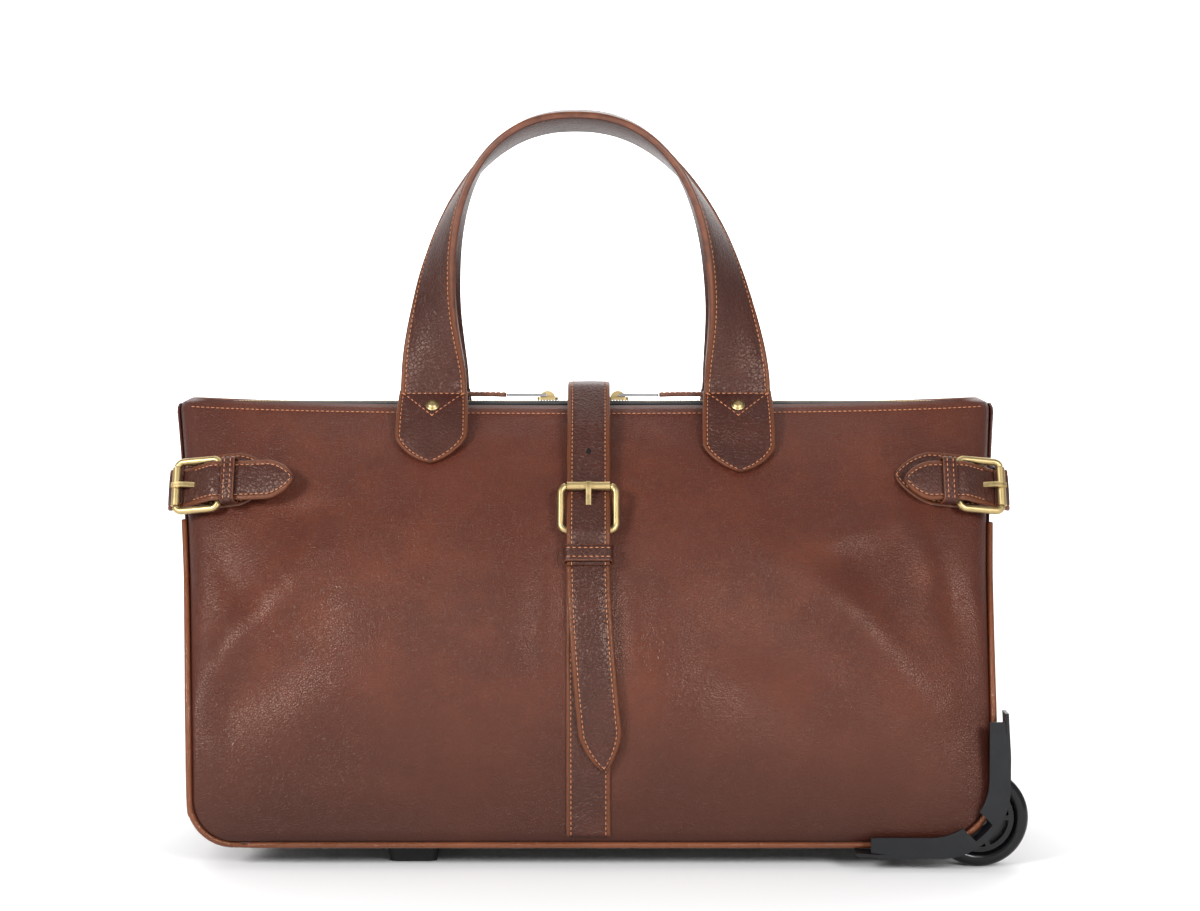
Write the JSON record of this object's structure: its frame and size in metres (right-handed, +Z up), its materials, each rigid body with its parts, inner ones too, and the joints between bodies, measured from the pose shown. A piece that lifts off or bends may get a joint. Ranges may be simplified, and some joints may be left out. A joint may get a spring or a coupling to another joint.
{
  "type": "rolling duffle bag",
  "caption": "Soft leather rolling duffle with arched carry handles, buckled centre strap, side cinch straps, zipped top, inline wheels and a pull-out trolley handle.",
  "frame": {"origin": "on the floor under the middle of the whole object's box", "axes": "+X towards the wheel end, +Y towards the back panel, +Z up"},
  "size_m": [0.6035, 0.26, 0.5326],
  "materials": {
    "body_leather": "fine pebble-grain aniline leather, mottled",
    "strap_leather": "pebbled strap leather with lighter edges and peach stitching",
    "piping_leather": "smooth glossy welt leather",
    "lining_cloth": "plain woven cotton lining",
    "base_cloth": "coated black base cloth",
    "zip_tape": "woven black zip tape",
    "antique_brass": "brushed antique brass",
    "pull_steel": "brushed",
    "guard_plastic": "moulded black, satin",
    "tyre_rubber": "glossy black polyurethane",
    "hub_plastic": "moulded black",
    "bush_plastic": "natural acetal",
    "axle_steel": "zinc plated",
    "tube_metal": "satin anodised",
    "button_plastic": "moulded dark grey",
    "tray_board": "grained board",
    "foot_rubber": "moulded black"
  },
  "bodies": {
    "bag": {"front_panel": "body_leather", "back_panel": "body_leather", "left_gusset": "body_leather", "right_gusset": "body_leather", "base_panel": "base_cloth", "piping_front": "piping_leather", "piping_back": "piping_leather", "lining": "lining_cloth", "floor_tray": "tray_board", "zip_tapes": "zip_tape", "zip_teeth": "antique_brass", "handle_feet_front": "strap_leather", "handle_feet_back": "strap_leather", "handle_rivets": "antique_brass", "closure_strap": "strap_leather", "closure_base_strap": "strap_leather", "closure_keeper": "strap_leather", "closure_buckle_frame": "antique_brass", "wheel_axles": "axle_steel", "wheel_housing_front": "guard_plastic", "wheel_housing_back": "guard_plastic", "trolley_cup": "guard_plastic", "trolley_outer_tubes": "tube_metal", "trolley_end_block": "tray_board", "feet": "foot_rubber", "foot_screws": "axle_steel", "left_cinch_strap": "strap_leather", "left_cinch_tail": "strap_leather", "left_cinch_tabs": "strap_leather", "left_cinch_keeper": "strap_leather", "left_cinch_buckle_frame": "antique_brass", "right_cinch_strap": "strap_leather", "right_cinch_tail": "strap_leather", "right_cinch_tabs": "strap_leather", "right_cinch_keeper": "strap_leather", "right_cinch_buckle_frame": "antique_brass"},
    "wheel_front": {"wheel_tyre_front": "tyre_rubber", "wheel_hub_front": "hub_plastic", "wheel_bush_front": "bush_plastic"},
    "wheel_back": {"wheel_tyre_back": "tyre_rubber", "wheel_hub_back": "hub_plastic", "wheel_bush_back": "bush_plastic"},
    "handle_front": {"handle_front": "strap_leather"},
    "handle_back": {"handle_back": "strap_leather"},
    "trolley": {"trolley_inner_tubes": "tube_metal", "trolley_grip": "guard_plastic"},
    "trolley_button": {"trolley_button": "button_plastic"},
    "slider_left": {"zip_slider_left": "antique_brass"},
    "slider_right": {"zip_slider_right": "antique_brass"},
    "pull_left": {"zip_pull_left": "pull_steel", "zip_tab_left": "strap_leather"},
    "pull_right": {"zip_pull_right": "pull_steel", "zip_tab_right": "strap_leather"},
    "closure_roller": {"closure_buckle_roller": "antique_brass"},
    "closure_prong": {"closure_buckle_prong": "antique_brass"},
    "closure_tail": {"closure_tail": "strap_leather"},
    "left_roller": {"left_cinch_buckle_roller": "antique_brass"},
    "left_prong": {"left_cinch_buckle_prong": "antique_brass"},
    "right_roller": {"right_cinch_buckle_roller": "antique_brass"},
    "right_prong": {"right_cinch_buckle_prong": "antique_brass"}
  },
  "joints": [
    {"name": "wheel_front_spin", "type": "hinge", "parent": "bag", "child": "wheel_front", "pos_m": [0.2667, -0.1005, 0.0343], "axis": [0, 1, 0], "continuous": true},
    {"name": "wheel_back_spin", "type": "hinge", "parent": "bag", "child": "wheel_back", "pos_m": [0.2667, 0.1005, 0.0343], "axis": [0, 1, 0], "continuous": true},
    {"name": "handle_front_swing", "type": "hinge", "parent": "bag", "child": "handle_front", "pos_m": [-0.007, -0.02, 0.324], "axis": [1, 0, 0], "range_deg": [-1.5, 105]},
    {"name": "handle_back_swing", "type": "hinge", "parent": "bag", "child": "handle_back", "pos_m": [-0.007, 0.02, 0.324], "axis": [-1, 0, 0], "range_deg": [-1.5, 105]},
    {"name": "trolley_slide", "type": "slide", "parent": "bag", "child": "trolley", "axis": [-1, 0, 0], "range_m": [0, 0.42]},
    {"name": "trolley_button_press", "type": "slide", "parent": "trolley", "child": "trolley_button", "axis": [1, 0, 0], "range_m": [0, 0.0014], "stiffness_N_per_m": 900},
    {"name": "zip_left_slide", "type": "slide", "parent": "bag", "child": "slider_left", "axis": [-1, 0, 0], "range_m": [0, 0.235]},
    {"name": "zip_right_slide", "type": "slide", "parent": "bag", "child": "slider_right", "axis": [1, 0, 0], "range_m": [0, 0.235]},
    {"name": "zip_left_pull_lift", "type": "hinge", "parent": "slider_left", "child": "pull_left", "pos_m": [-0.0355, 0, 0.32335], "axis": [0, 1, 0], "range_deg": [0, 80]},
    {"name": "zip_right_pull_lift", "type": "hinge", "parent": "slider_right", "child": "pull_right", "pos_m": [0.0185, 0, 0.32335], "axis": [0, -1, 0], "range_deg": [0, 80]},
    {"name": "closure_tail_lift", "type": "hinge", "parent": "bag", "child": "closure_tail", "pos_m": [-0.004, -0.1088, 0.2085], "axis": [-1, 0, 0], "range_deg": [0, 60]},
    {"name": "closure_roller_spin", "type": "hinge", "parent": "bag", "child": "closure_roller", "pos_m": [-0.004, -0.08596, 0.26298], "axis": [1, 0, 0], "continuous": true},
    {"name": "closure_prong_lift", "type": "hinge", "parent": "bag", "child": "closure_prong", "pos_m": [-0.004, -0.0972, 0.23302], "axis": [1, 0, 0], "range_deg": [0, 7]},
    {"name": "left_roller_spin", "type": "hinge", "parent": "bag", "child": "left_roller", "pos_m": [-0.29518, -0.05888, 0.26035], "axis": [0, 0.417, 0.9089], "continuous": true},
    {"name": "left_prong_lift", "type": "hinge", "parent": "bag", "child": "left_prong", "pos_m": [-0.26412, -0.06588, 0.26356], "axis": [0, 0.417, 0.9089], "range_deg": [0, 7]},
    {"name": "right_roller_spin", "type": "hinge", "parent": "bag", "child": "right_roller", "pos_m": [0.28768, -0.0569, 0.26035], "axis": [0, -0.417, -0.9089], "continuous": true},
    {"name": "right_prong_lift", "type": "hinge", "parent": "bag", "child": "right_prong", "pos_m": [0.25662, -0.0639, 0.26356], "axis": [0, -0.417, -0.9089], "range_deg": [0, 7]}
  ]
}
